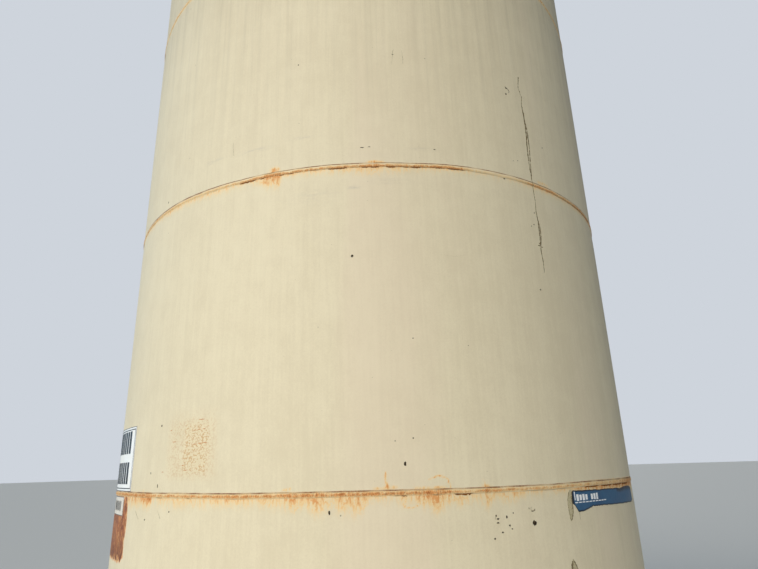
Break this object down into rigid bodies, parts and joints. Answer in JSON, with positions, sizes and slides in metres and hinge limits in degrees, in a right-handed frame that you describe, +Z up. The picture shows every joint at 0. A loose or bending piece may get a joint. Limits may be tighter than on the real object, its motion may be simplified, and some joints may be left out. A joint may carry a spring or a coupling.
{
  "type": "vertical storage tank",
  "caption": "Flat-bottomed vertical steel storage tank of welded plate courses, with cone roof, manways, vents, outlet valve, ladder and notices.",
  "frame": {"origin": "the tank's axis at the underside of the bottom plate", "axes": "+Z up along the tank's axis; the plain front of the shell faces -Y and the ladder is at the back, on +Y"},
  "size_m": [3.467, 3.4727, 7.1891],
  "materials": {
    "cream_paint": "chalky weathered cream paint with rust",
    "roof_paint": "chalky weathered cream paint, dirtier",
    "weld_bead": "painted weld bead, rusting through",
    "notice_white": "satin white vinyl",
    "sticker_blue": "faded blue vinyl, torn",
    "steel": "weathered galvanized steel",
    "cast_iron": "dark painted casting",
    "cast_aluminium": "dull cast aluminium"
  },
  "bodies": {
    "root": {"bottom_plate": "cream_paint", "base_fillet_weld": "weld_bead", "shell_course_1": "cream_paint", "shell_course_2": "cream_paint", "shell_course_3": "cream_paint", "shell_course_4": "cream_paint", "girth_weld_1": "weld_bead", "girth_weld_2": "weld_bead", "girth_weld_3": "weld_bead", "vertical_weld_1": "weld_bead", "vertical_weld_2": "weld_bead", "vertical_weld_3": "weld_bead", "vertical_weld_4": "weld_bead", "sign_placard": "notice_white", "small_label": "notice_white", "torn_sticker": "sticker_blue", "top_angle": "cream_paint", "roof_plate": "roof_paint", "vent_pipe": "cream_paint", "vent_cap": "cast_aluminium", "roof_manhole_neck": "cream_paint", "roof_manhole_cover": "cream_paint", "emergency_vent_neck": "cream_paint", "emergency_vent_cap": "cast_aluminium", "gauge_hatch_neck": "cream_paint", "gauge_hatch_lid": "cast_aluminium", "shell_manway_pad": "cream_paint", "shell_manway_neck": "cream_paint", "shell_manway_cover": "cream_paint", "outlet_nozzle": "cream_paint", "outlet_valve": "cast_iron", "outlet_handwheel": "cast_iron", "outlet_blind_flange": "steel", "drain_coupling": "steel", "ground_lug": "steel", "lifting_lug_right": "cream_paint", "lifting_lug_left": "cream_paint", "ladder_section_1": "cream_paint", "ladder_section_2": "cream_paint", "ladder_section_3": "cream_paint", "ladder_bracket_1": "cream_paint", "ladder_bracket_2": "cream_paint", "ladder_bracket_3": "cream_paint", "ladder_bracket_4": "cream_paint", "grab_rail_left": "cream_paint", "grab_rail_right": "cream_paint"}
  },
  "joints": []
}
